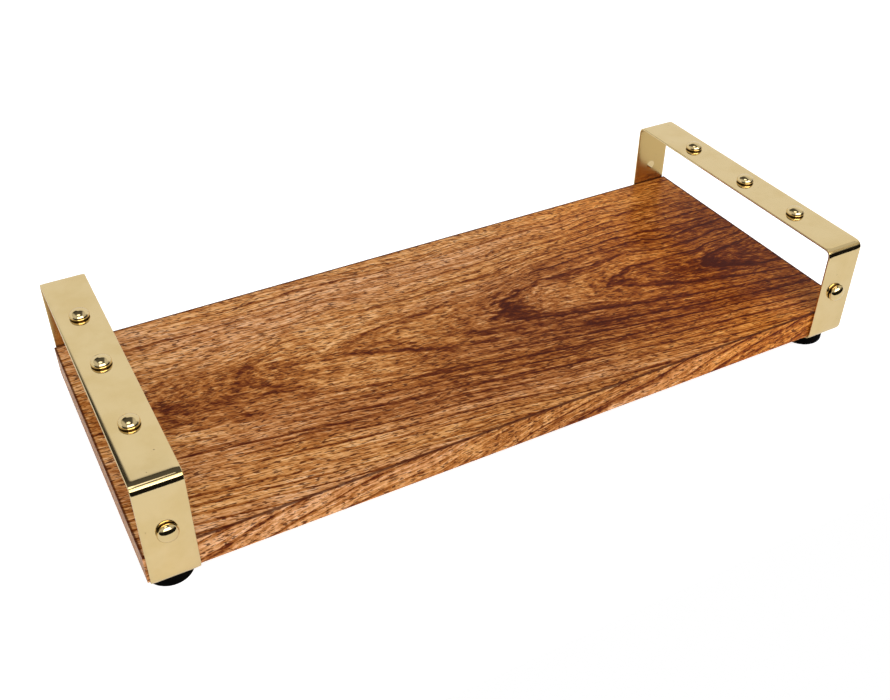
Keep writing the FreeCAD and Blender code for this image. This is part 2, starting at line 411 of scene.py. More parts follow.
@dataclass(frozen=True)
class PolishedBrass(Finish):
    """Polished yellow brass with a faint buffing haze and small dark pits.

    Attributes:
        colour: The clean metal.
        worn: The metal where it has toned down a little.
        inner: The metal inside a handle.
        pit: The bottom of a pit.
        contact_shade: Painted shade where a rivet's head meets the strip.
        roughness: Usual roughness of the polish.
        buffing: How much the buffing lines show.
        inner_level: Below this height a handle's inside is only brushed. 0 is polished all over.
        inner_reach: And between this distance in front of the middle and the same behind it.
        foot_level: A rivet standing on the bridge gets painted shade just above this height, where its head
            meets the strip. 0 for none.
        foot_reach: And one on a leg just beyond this distance from the board's middle.
    """

    colour: Colour = linear(228, 204, 152)
    worn: Colour = linear(222, 196, 140)
    inner: Colour = linear(206, 176, 116)
    pit: Colour = linear(84, 62, 30)
    contact_shade: Colour = linear(34, 14, 2)
    roughness: float = 0.085
    buffing: float = 0.05
    inner_level: float = 0.0
    inner_reach: float = 0.0
    foot_level: float = 0.0
    foot_reach: float = 0.0

    def mix(self, bench: Bench, place: Value, x: Value, y: Value, z: Value) -> dict[str, object]:
        """Adds the haze, buffing lines and pits of the brass. See Finish.mix."""
        haze = bench.noise(place, 0.05, 3.0, 0.6)
        lines = bench.noise(bench.join(x * 4.0, y * 0.06, z * 0.06), 1.0, 3.0, 0.7)
        spots = bench.node(
            "ShaderNodeTexVoronoi", {"feature": "F1"}, {"Vector": place, "Scale": 0.13}
        ).out("Distance")
        pits = 1.0 - bench.ease(spots, 0.015, 0.05)
        colour = bench.blend(bench.ease(haze, 0.35, 0.75), self.colour, self.worn)
        inside = bench.ease(y.math("ABSOLUTE"), self.inner_reach, self.inner_reach - 0.2)
        inside = inside * bench.ease(z, self.inner_level, self.inner_level - 0.2)
        colour = bench.blend(inside, colour, self.inner)
        colour = bench.blend(pits * 0.7, colour, self.pit)
        # Painted shade: a dark ring where each rivet's head meets the strip, on the bridge and on the legs.
        if self.foot_level > 0.0:
            off_middle = y.math("ABSOLUTE")
            above = bench.ease(z, self.foot_level + 1.0, self.foot_level + 0.6)
            above = above * bench.ease(z, self.foot_level - 1.0, self.foot_level - 0.8)
            beyond = bench.ease(off_middle, self.foot_reach + 0.9, self.foot_reach + 0.5)
            beyond = beyond * bench.ease(off_middle, self.foot_reach - 1.0, self.foot_reach - 0.8)
            beyond = beyond * bench.ease(z, self.foot_level - 6.0, self.foot_level - 7.0)
            colour = bench.blend(above.math("MAXIMUM", beyond) * 0.95, colour, self.contact_shade)
        roughness = haze * 0.05 + lines * 0.03 + pits * 0.3 + (self.roughness - 0.04)
        roughness = roughness + inside * (0.10 + haze * 0.10)
        normal = bench.bump(lines, 0.006, self.buffing)
        normal = bench.bump(bench.noise(place, 0.025, 1.0), 0.25, 0.12, normal)
        normal = bench.bump(1.0 - pits, 0.05, 0.5, normal)
        return {"Base Color": colour, "Metallic": 1.0, "Roughness": roughness, "Normal": normal}


@dataclass(frozen=True)
class MouldedRubber(Finish):
    """Black rubber with a fine grain from its mould.

    Attributes:
        colour: The clean rubber.
        dusty: The rubber where it has rubbed grey.
    """

    colour: Colour = linear(3, 3, 3)
    dusty: Colour = linear(8, 7, 7)

    def mix(self, bench: Bench, place: Value, x: Value, y: Value, z: Value) -> dict[str, object]:
        """Adds the dust and grain of the rubber. See Finish.mix."""
        dust = bench.noise(place, 0.25, 4.0, 0.6)
        grain = bench.noise(place, 3.0, 2.0)
        colour = bench.blend(bench.ease(dust, 0.45, 0.8), self.colour, self.dusty)
        return {
            "Base Color": colour,
            "Roughness": dust * 0.25 + 0.6,
            "Specular IOR Level": 0.02,
            "Normal": bench.bump(grain, 0.04, 0.35),
        }


@dataclass(frozen=True)
class ZincSteel(Finish):
    """Bright zinc-plated steel of the hidden fasteners.

    Attributes:
        colour: The clean plating.
        cloudy: The plating where it has dulled.
    """

    colour: Colour = linear(196, 198, 200)
    cloudy: Colour = linear(150, 150, 146)

    def mix(self, bench: Bench, place: Value, x: Value, y: Value, z: Value) -> dict[str, object]:
        """Adds the clouds and turning marks of the steel. See Finish.mix."""
        clouds = bench.noise(place, 0.6, 4.0, 0.6)
        turning = bench.noise(bench.join(x * 0.4, y * 0.4, z * 6.0), 1.0, 2.0)
        return {
            "Base Color": bench.blend(bench.ease(clouds, 0.4, 0.75), self.colour, self.cloudy),
            "Metallic": 1.0,
            "Roughness": clouds * 0.2 + 0.2,
            "Normal": bench.bump(turning, 0.02, 0.2),
        }


@dataclass(frozen=True)
class Finishes:
    """The finished materials of every kind of piece.

    Attributes:
        wood: The board.
        strip: The bent brass strips.
        rivets: The brass rivets.
        rubber: The feet.
        steel: The washers and screws.
    """

    wood: bpy.types.Material
    strip: bpy.types.Material
    rivets: bpy.types.Material
    rubber: bpy.types.Material
    steel: bpy.types.Material


# ---------------------------------------------------------------- making meshes


@dataclass(frozen=True)
class Spot:
    """A place for a turned piece.

    Attributes:
        centre: Where its base sits.
        aim: The direction that its axis points in.
    """

    centre: Vector
    aim: Vector


def point_object(name: str, points: Sequence[Vector], **arrows: Sequence[Vector]) -> bpy.types.Object:
    """Makes a loose row of points that a geometry tree reads.

    Args:
        name: The object's name.
        points: The points, in millimetres.
        arrows: Vectors at the points, each kept as a named attribute.

    Returns:
        The object, which the caller removes when it has been used.
    """
    mesh = bpy.data.meshes.new(name)
    mesh.from_pydata([point * MM for point in points], [], [])
    for title, vectors in arrows.items():
        attribute = mesh.attributes.new(title, "FLOAT_VECTOR", "POINT")
        for item, vector in zip(attribute.data, vectors):
            item.vector = vector
    made = bpy.data.objects.new(name, mesh)
    bpy.context.scene.collection.objects.link(made)
    return made


def discard(*objects: bpy.types.Object) -> None:
    """Removes working objects and their meshes."""
    for made in objects:
        mesh = made.data
        bpy.data.objects.remove(made)
        if mesh.users == 0:
            bpy.data.meshes.remove(mesh)


class GeometryTree:
    """A Geometry Nodes tree with named inputs, which is run once for each mesh that it makes.

    Attributes:
        name: The tree's name.
        inputs: The type and default value of each named input that a kind of tree has of its own.
    """

    name: str
    inputs: Mapping[str, tuple[str, object]]

    def __init__(self) -> None:
        """Makes the tree with its inputs and lets the kind of tree add its nodes."""
        self.tree = bpy.data.node_groups.new(self.name, "GeometryNodeTree")
        self.tree.interface.new_socket("Geometry", in_out="OUTPUT", socket_type="NodeSocketGeometry")
        shared = {"Weld": ("NodeSocketFloat", 0.00001), "Material": ("NodeSocketMaterial", None)}
        for title, (kind, value) in {**self.inputs, **shared}.items():
            socket = self.tree.interface.new_socket(title, in_out="INPUT", socket_type=kind)
            if value is not None:
                socket.default_value = value
        self.bench = Bench(self.tree)
        entry = self.bench.node("NodeGroupInput")
        shape = {"Geometry": self.lay_out(self.bench, entry)}
        finished = {
            "Geometry": self.bench.node("GeometryNodeRealizeInstances", {}, shape),
            "Material": entry.out("Material"),
        }
        dressed = self.bench.node("GeometryNodeSetMaterial", {}, finished)
        self.bench.node("NodeGroupOutput", {}, {"Geometry": dressed})

    def lay_out(self, bench: Bench, entry: Value) -> Value:
        """Adds the nodes that make the shape.

        Args:
            bench: The tree's bench.
            entry: The group's input node.

        Returns:
            The shape's geometry.
        """
        raise NotImplementedError

    def _points(self, entry: Value, title: str) -> tuple[Value, Value]:
        """The points of an object that is given as an input, and their number."""
        points = self.bench.node("GeometryNodeObjectInfo", {}, {"Object": entry.out(title)}).out("Geometry")
        size = self.bench.node("GeometryNodeAttributeDomainSize", {"component": "MESH"}, {"Geometry": points})
        return points, size.out("Point Count")

    def _grid(self, columns: Value, rows: Value) -> tuple[Value, Value, Value]:
        """A grid to be shaped, and the column and row of each of its points."""
        sizes = {"Size X": 1.0, "Size Y": 1.0, "Vertices X": columns, "Vertices Y": rows}
        index = self.bench.node("GeometryNodeInputIndex")
        column = (index / rows + 0.0001).math("FLOOR")
        return self.bench.node("GeometryNodeMeshGrid", {}, sizes).out("Mesh"), column, index - column * rows

    def _sample(self, source: Value, index: Value, name: str = "") -> Value:
        """The place of one point of the source, or its named vector."""
        value = self._named(name) if name else self.bench.node("GeometryNodeInputPosition")
        return self.bench.node(
            "GeometryNodeSampleIndex",
            {"data_type": "FLOAT_VECTOR", "domain": "POINT"},
            {"Geometry": source, "Value": value, "Index": index},
        )

    def _named(self, name: str) -> Value:
        """A named vector attribute."""
        kind = {"data_type": "FLOAT_VECTOR"}
        return self.bench.node("GeometryNodeInputNamedAttribute", kind, {"Name": name}).out("Attribute")

    def _shaped(self, grid: Value, place: Value, entry: Value) -> Value:
        """The grid with its points moved to a place and welded where they meet."""
        moved = self.bench.node("GeometryNodeSetPosition", {}, {"Geometry": grid, "Position": place})
        weld = {"Geometry": moved, "Distance": entry.out("Weld")}
        return self.bench.node("GeometryNodeMergeByDistance", {}, weld)

    def run(self, name: str, values: Mapping[str, object]) -> bpy.types.Mesh:
        """Runs the tree on an empty object and keeps the result as a plain mesh.

        Args:
            name: The new mesh's name.
            values: A value for each input that isn't left at its default.

        Returns:
            A closed mesh whose faces point outwards.
        """
        holder = bpy.data.objects.new(name, bpy.data.meshes.new(name + "_holder"))
        bpy.context.scene.collection.objects.link(holder)
        modifier = holder.modifiers.new(self.name, "NODES")
        modifier.node_group = self.tree
        sockets = {item.name: item.identifier for item in self.tree.interface.items_tree}
        for title, value in values.items():
            modifier[sockets[title]] = value
        bpy.context.view_layer.update()
        graph = bpy.context.evaluated_depsgraph_get()
        mesh = bpy.data.meshes.new_from_object(holder.evaluated_get(graph))
        mesh.name = name
        discard(holder)
        face_outwards(mesh)
        return mesh


def face_outwards(mesh: bpy.types.Mesh) -> None:
    """Turns every face of a closed mesh outwards."""
    shell = bmesh.new()
    shell.from_mesh(mesh)
    bmesh.ops.recalc_face_normals(shell, faces=shell.faces)
    shell.to_mesh(mesh)
    shell.free()


class TurnedPieces(GeometryTree):
    """Turns a profile about its axis and sets a copy at every spot."""

    name = "turned_pieces"
    inputs = {
        "Profile": ("NodeSocketObject", None),
        "Places": ("NodeSocketObject", None),
        "Sides": ("NodeSocketInt", 48),
        "Seed": ("NodeSocketInt", 3),
    }

    def lay_out(self, bench: Bench, entry: Value) -> Value:
        """Turns the profile and instances it on the places. See GeometryTree.lay_out."""
        profile, points = self._points(entry, "Profile")
        places, _ = self._points(entry, "Places")
        sides = entry.out("Sides")
        grid, step, row = self._grid(sides + 1.0, points)
        reach, _, height = bench.split(self._sample(profile, row))
        turn = step / sides * math.tau
        round_axis = bench.join(reach * turn.math("COSINE"), reach * turn.math("SINE"), height)
        aim = {"Vector": self._named("aim")}
        upright = bench.node("FunctionNodeAlignRotationToVector", {"axis": "Z"}, aim)
        turns = {"Min": 0.0, "Max": math.tau, "Seed": entry.out("Seed")}
        spin = bench.node("FunctionNodeRandomValue", {"data_type": "FLOAT"}, turns)
        spun = bench.node(
            "FunctionNodeRotateRotation",
            {"rotation_space": "LOCAL"},
            {"Rotation": upright, "Rotate By": bench.join(0.0, 0.0, spin)},
        )
        piece = self._shaped(grid, round_axis, entry)
        copies = {"Points": places, "Instance": piece, "Rotation": spun}
        return bench.node("GeometryNodeInstanceOnPoints", {}, copies)


class BentStrips(GeometryTree):
    """Carries the outline of a strip's section along the strip's path."""

    name = "bent_strips"
    inputs = {
        "Path": ("NodeSocketObject", None),
        "Section": ("NodeSocketObject", None),
        "Centre": ("NodeSocketFloat", 0.0),
    }

    def lay_out(self, bench: Bench, entry: Value) -> Value:
        """Places the section at every stop of the path and skins it. See GeometryTree.lay_out."""
        path, stops = self._points(entry, "Path")
        section, around = self._points(entry, "Section")
        grid, stop, place = self._grid(stops, around)
        across, _, above = bench.split(self._sample(section, place))
        wide, _, deep = bench.split(self._sample(path, stop, "share"))
        lift = bench.scaled(self._sample(path, stop, "outward"), above * deep)
        sideways = bench.join(across * wide + entry.out("Centre"), 0.0, 0.0)
        total = bench.vector("ADD", bench.vector("ADD", self._sample(path, stop), lift), sideways)
        return self._shaped(grid, total, entry)


def box_of(name: str) -> tuple[Vector, Vector]:
    """The lowest and highest corners of a node of the frame, in millimetres."""
    low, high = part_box(name)
    return low / MM, high / MM


def flat(reach: float, height: float) -> Vector:
    """A point of an outline that lies upright, at a distance from its axis and at a height."""
    return Vector((reach, 0.0, height))


def quarter(steps: int, first: int = 0) -> Iterator[float]:
    """Even turns from 0 to a right angle, in radians.

    Args:
        steps: Number of parts of the right angle.
        first: The first turn to give.

    Yields:
        Each turn, the right angle included.
    """
    for step in range(first, steps + 1):
        yield math.radians(90.0 * step / steps)


def cut_away(mesh: bpy.types.Mesh, cutter: bpy.types.Mesh) -> bpy.types.Mesh:
    """Cuts one closed mesh out of another.

    Args:
        mesh: The mesh to cut.
        cutter: The shape to take away.

    Returns:
        A new mesh.
    """
    body = bpy.data.objects.new("cut_body", mesh)
    tool = bpy.data.objects.new("cut_tool", cutter)
    for made in (body, tool):
        bpy.context.scene.collection.objects.link(made)
    modifier = body.modifiers.new("cut", "BOOLEAN")
    modifier.operation = "DIFFERENCE"
    modifier.solver = "EXACT"
    modifier.object = tool
    bpy.context.view_layer.update()
    graph = bpy.context.evaluated_depsgraph_get()
    result = bpy.data.meshes.new_from_object(body.evaluated_get(graph))
    result.name = mesh.name
    discard(body, tool)
    return result


def set_down(
    name: str,
    mesh: bpy.types.Mesh,
    material: bpy.types.Material,
    nodes: Sequence[str],
    crease: float = 32.0,
) -> bpy.types.Object:
    """Makes a finished piece of a mesh and lets it stand for its nodes of the frame.

    Args:
        name: The piece's name.
        mesh: Its mesh, in place.
        material: Its finish.
        nodes: The nodes that it stands for.
        crease: Angle in degrees past which an edge is shown sharp.

    Returns:
        The piece.
    """
    mesh.materials.clear()
    mesh.materials.append(material)
    mesh.shade_smooth()
    mesh.set_sharp_from_angle(angle=math.radians(crease))
    mesh.name = name
    piece = bpy.data.objects.new(name, mesh)
    bpy.context.scene.collection.objects.link(piece)
    weighted = piece.modifiers.new("even_shading", "WEIGHTED_NORMAL")
    weighted.keep_sharp = True
    weighted.weight = 100
    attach(piece, "root")
    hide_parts(*nodes)
    log.info("%s stands for %d node(s), %d faces", name, len(nodes), len(mesh.polygons))
    return piece


# ---------------------------------------------------------------- sub-assemblies


@dataclass
class Board:
    """The hardwood board.

    Attributes:
        arris: Rounding of the top and upright edges.
        lower_round: Rounding of the two lower long edges.
    """

    arris: float = 0.7
    lower_round: float = 1.9

    def build(self, finish: bpy.types.Material) -> bpy.types.Object:
        """Makes the board as a block with two kinds of rounded edge.

        Args:
            finish: The wood's material.

        Returns:
            The finished piece.
        """
        low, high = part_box("board")
        block = bmesh.new()
        bmesh.ops.create_cube(block, size=1.0)
        size = high - low
        middle = (high + low) / 2.0
        for vertex in block.verts:
            vertex.co = vertex.co * size + middle
        self._round(block, [e for e in block.edges if self._is_lower_long(e, low)], self.lower_round, 10)
        self._round(block, [e for e in block.edges if self._is_arris(e, low, high)], self.arris, 4)
        bmesh.ops.recalc_face_normals(block, faces=block.faces)
        mesh = bpy.data.meshes.new("hardwood_board")
        block.to_mesh(mesh)
        block.free()
        return set_down("hardwood_board", mesh, finish, ["board"])

    @staticmethod
    def _round(block: bmesh.types.BMesh, edges: list[bmesh.types.BMEdge], radius: float, steps: int) -> None:
        """Rounds some edges of the block."""
        bmesh.ops.bevel(
            block,
            geom=edges,
            offset=radius * MM,
            offset_type="OFFSET",
            segments=steps,
            profile=0.5,
            affect="EDGES",
            clamp_overlap=True,
        )

    @staticmethod
    def _is_lower_long(edge: bmesh.types.BMEdge, low: Vector) -> bool:
        """Whether an edge is one of the lower long ones."""
        ends = [vertex.co for vertex in edge.verts]
        return all(abs(e.z - low.z) < 1e-6 for e in ends) and abs(ends[0].y - ends[1].y) < 1e-6

    def _is_arris(self, edge: bmesh.types.BMEdge, low: Vector, high: Vector) -> bool:
        """Whether an edge is a top edge or an upright one."""
        ends = [vertex.co for vertex in edge.verts]
        on_top = all(abs(e.z - high.z) < 1e-6 for e in ends)
        upright = abs(ends[0].z - ends[1].z) > (high.z - low.z) * 0.5
        return on_top or upright


@dataclass
class Handle:
    """One brass handle: a bent strip with five domed rivets.

    Attributes:
        side: Which end of the board it carries.
        thickness: Thickness of the strip.
        bend_reach: Length of the curve on each side of a bend's corner, on the strip's middle.
        bend_power: Power of the bend's curve; 2 is a circle, and more starts slower and turns tighter.
        edge_round: Rounding of the strip's edges.
        crown_reach: Width along each edge that polishing has worn down.
        crown_drop: How much it has worn down.
        tab_round: Radius of the corners at the strip's ends.
        past_foot: How far each end reaches past its foot's inner edge.
        rivet_hole: Diameter of a rivet's hole.
        tail: Diameter of a rivet's closed tail.
        tail_depth: Depth of the tail in the strip.
    """

    side: Side
    thickness: float = 1.6
    bend_reach: float = 5.8
    bend_power: float = 3.4
    edge_round: float = 0.4
    crown_reach: float = 3.4
    crown_drop: float = 0.15
    tab_round: float = 3.0
    past_foot: float = 1.7
    rivet_hole: float = 4.1
    tail: float = 6.5
    tail_depth: float = 0.8

    @property
    def label(self) -> str:
        """The side's name in lower case."""
        return self.side.name.lower()

    @property
    def rivet_nodes(self) -> list[str]:
        """The frame's names of this handle's rivets."""
        bridge = [f"{self.label}_bridge_rivet_{place}" for place in ("front", "middle", "back")]
        return bridge + [f"{self.label}_leg_rivet_{place}" for place in ("front", "back")]

    def build(self, strips: BentStrips, turned: TurnedPieces, finishes: Finishes) -> None:
        """Makes the strip and its rivets.

        Args:
            strips: The tree for bent strips.
            turned: The tree for turned pieces.
            finishes: The materials.
        """
        spots = self._rivet_spots()
        strip = self._strip_mesh(strips, finishes.strip)
        strip = cut_away(strip, self._holes(turned, finishes.strip, spots))
        node = f"handle_strap_{self.label}"
        set_down(f"{self.label}_brass_strip", strip, finishes.strip, [node])
        profile = RivetShape().profile(self.thickness)
        rivets = turn_at(turned, f"{self.label}_rivets", finishes.rivets, profile, spots, 72)
        set_down(f"{self.label}_brass_rivets", rivets, finishes.rivets, self.rivet_nodes, 28.0)

    def _strip_mesh(self, strips: BentStrips, finish: bpy.types.Material) -> bpy.types.Mesh:
        """Bends the strip.

        Args:
            strips: The tree for bent strips.
            finish: The strip's material.

        Returns:
            The closed mesh, without holes.
        """
        low, high = box_of(f"handle_strap_{self.label}")
        half = self.thickness / 2.0
        centre_x = (low.x + high.x) / 2.0
        width = high.x - low.x
        path, outward, share = self._path(low, high, half, width)
        path_points = point_object("strip_path", path, outward=outward, share=share)
        section_points = point_object("strip_section", self._section(width / 2.0, half))
        given = {
            "Path": path_points,
            "Section": section_points,
            "Centre": centre_x * MM,
            "Material": finish,
        }
        mesh = strips.run(f"{self.label}_strip", given)
        discard(path_points, section_points)
        return mesh

    def _path(
        self, low: Vector, high: Vector, half: float, width: float
    ) -> tuple[list[Vector], list[Vector], list[Vector]]:
        """Stops along the middle of the strip, from one tucked-in end to the other.

        Args:
            low: Lowest corner of the strip's box.
            high: Highest corner of the strip's box.
            half: Half the strip's thickness.
            width: The strip's width.

        Returns:
            The stops, the outward direction at each, and the share of the width and thickness there.
        """
        end_y = box_of(f"foot_{self.label}_front")[1].y + self.past_foot
        bottom = low.z + half
        top = high.z - half
        leg = high.y - half
        stops = [
            (Vector((0.0, end_y - inward, bottom)), -UP, flat(across, deep))
            for inward, across, deep in self._tab_stops(width)
        ]
        forward = Vector((0.0, -1.0, 0.0))
        for height, before, after in ((bottom, -UP, forward), (top, forward, UP)):
            for stop, arrow in self._bend(Vector((0.0, -leg, height)), before, after):
                stops.append((stop, arrow, flat(1.0, 1.0)))
        flip = Matrix.Diagonal((1.0, -1.0, 1.0))
        stops += [(flip @ stop, flip @ arrow, share) for stop, arrow, share in reversed(stops)]
        path, outward, shares = (list(part) for part in zip(*stops))
        return path, outward, shares

    def _bend(self, corner: Vector, first: Vector, last: Vector) -> list[tuple[Vector, Vector]]:
        """Stops round one bend of the strip.

        Args:
            corner: Where the strip's two straight middles would meet.
            first: Outward direction before the bend.
            last: Outward direction after the bend.

        Returns:
            Each stop with its outward direction.
        """
        reach, power = self.bend_reach, self.bend_power
        centre = corner - (first + last) * reach
        stops = []
        for turn in quarter(32):
            near, far = math.cos(turn) ** (2.0 / power), math.sin(turn) ** (2.0 / power)
            arrow = first * near ** (power - 1.0) + last * far ** (power - 1.0)
            stops.append((centre + (first * near + last * far) * reach, arrow.normalized()))
        return stops

    def _tab_stops(self, width: float) -> list[tuple[float, float, float]]:
        """Stops that round the end of the strip: distance from the end, share of width, share of depth.

        Args:
            width: The strip's width.

        Returns:
            The stops, from the very end inwards. The first one is drawn together to close the end.
        """
        half_width = width / 2.0
        stops = [(0.0, 0.0, 0.0)]
        for turn in quarter(12):
            inward = self.tab_round * (1.0 - math.cos(turn))
            across = (half_width - self.tab_round * (1.0 - math.sin(turn))) / half_width
            cut = max(0.0, self.edge_round - inward)
            drop = self.edge_round - math.sqrt(max(0.0, self.edge_round**2 - cut**2))
            stops.append((inward, across, 1.0 - drop / (self.thickness / 2.0)))
        return stops

    def _section(self, half_width: float, half: float) -> list[Vector]:
        """Outline of the strip's section, with rounded edges and faces that fall off beside them.

        Args:
            half_width: Half the strip's width.
            half: Half its thickness.

        Returns:
            The closed outline; its first point comes again at its end.
        """
        corner = self.edge_round
        start = half_width - self.crown_reach
        shares = [step / 6.0 for step in range(7)]
        right = [
            flat(start + (self.crown_reach - corner) * share, half - self.crown_drop * share**2)
            for share in shares
        ]
        centre = flat(half_width - corner, half - self.crown_drop - corner)
        right += [centre + flat(math.sin(turn), math.cos(turn)) * corner for turn in quarter(6, 1)]
        right += [flat(point.x, -point.z) for point in reversed(right)]
        outline = right + [flat(-point.x, point.z) for point in reversed(right)]
        return outline + [outline[0].copy()]

    def _rivet_spots(self) -> list[Spot]:
        """Where the rivets sit on the strip's outer face, from the frame's own rivets.

        Returns:
            A spot for each rivet, in the order of their names.
        """
        outer = box_of(f"handle_strap_{self.label}")[1]
        spots = []
        for name in self.rivet_nodes:
            low, high = box_of(name)
            middle = (low + high) / 2.0
            if "bridge" in name:
                spots.append(Spot(Vector((middle.x, middle.y, outer.z)), UP))
            else:
                face = Face.FRONT if "front" in name else Face.BACK
                y = outer.y * face.value
                spots.append(Spot(Vector((middle.x, y, middle.z)), Vector((0, face.value, 0))))
        return spots

    def _holes(
        self, turned: TurnedPieces, finish: bpy.types.Material, spots: Sequence[Spot]
    ) -> bpy.types.Mesh:
        """Cutters for the rivet holes, countersunk on the inside of the strip.

        Args:
            turned: The tree for turned pieces.
            finish: The strip's material, which the holes' walls take.
            spots: The rivets' places.

        Returns:
            All cutters as one mesh.
        """
        hole = self.rivet_hole / 2.0
        tail = self.tail / 2.0
        inner = -self.thickness
        profile = [
            flat(0.0, 1.0),
            flat(hole, 1.0),
            flat(hole, inner + self.tail_depth),
            flat(tail, inner),
            flat(tail + 1.0, inner - 1.0),
            flat(0.0, inner - 1.0),
        ]
        return turn_at(turned, f"{self.label}_holes", finish, profile, spots, 48)


def turn_at(
    turned: TurnedPieces,
    name: str,
    finish: bpy.types.Material,
    profile: Sequence[Vector],
    spots: Sequence[Spot],
    sides: int,
) -> bpy.types.Mesh:
    """Turns a profile and sets a copy at every spot.

    Args:
        turned: The tree for turned pieces.
        name: The mesh's name.
        finish: Its material.
        profile: Points from axis to axis; x is the distance from the axis and z the height.
        spots: Where the pieces go.
        sides: Number of sides.

    Returns:
        The pieces as one mesh.
    """
    outline = point_object("turned_profile", profile)
    places = point_object("turned_places", [s.centre for s in spots], aim=[s.aim for s in spots])
    given = {"Profile": outline, "Places": places, "Sides": sides, "Material": finish}
    mesh = turned.run(name, given)
    discard(outline, places)
    return mesh


@dataclass
class RivetShape:
    """The turned profile of a domed rivet, whose top has been hammered a little flat.

    Attributes:
        head: Diameter of the head.
        height: Height of the head.
        seat_inset: How far the head draws in where it meets the strip.
        skirt: Height at which the head is widest.
        fullness: Power of the dome's curve; 2 is an ellipse, and more is flatter on top.
        shank: Diameter of the shank.
        tail: Diameter of the closed tail.
        tail_depth: Depth of the tail.
    """

    head: float = 11.0
    height: float = 4.4
    seat_inset: float = 0.6
    skirt: float = 1.0
    fullness: float = 2.1
    shank: float = 4.0
    tail: float = 6.4
    tail_depth: float = 0.8

    def profile(self, strip: float) -> list[Vector]:
        """Outline from the top of the dome to the middle of the tail.

        Args:
            strip: Thickness of the strip that the rivet goes through.

        Returns:
            The outline's points.
        """
        wide = self.head / 2.0
        rise = self.height - self.skirt
        power = 2.0 / self.fullness
        dome = [
            flat(wide * math.sin(turn) ** power, self.skirt + rise * math.cos(turn) ** power)
            for turn in quarter(24)
        ]
        falls = [step / 6.0 for step in range(1, 7)]
        skirt = [flat(wide - self.seat_inset * fall**2, self.skirt * (1.0 - fall)) for fall in falls]
        return dome + skirt + [
            flat(self.shank / 2.0, 0.0),
            flat(self.shank / 2.0, self.tail_depth - strip),
            flat(self.tail / 2.0, -strip),
            flat(0.0, -strip),
        ]


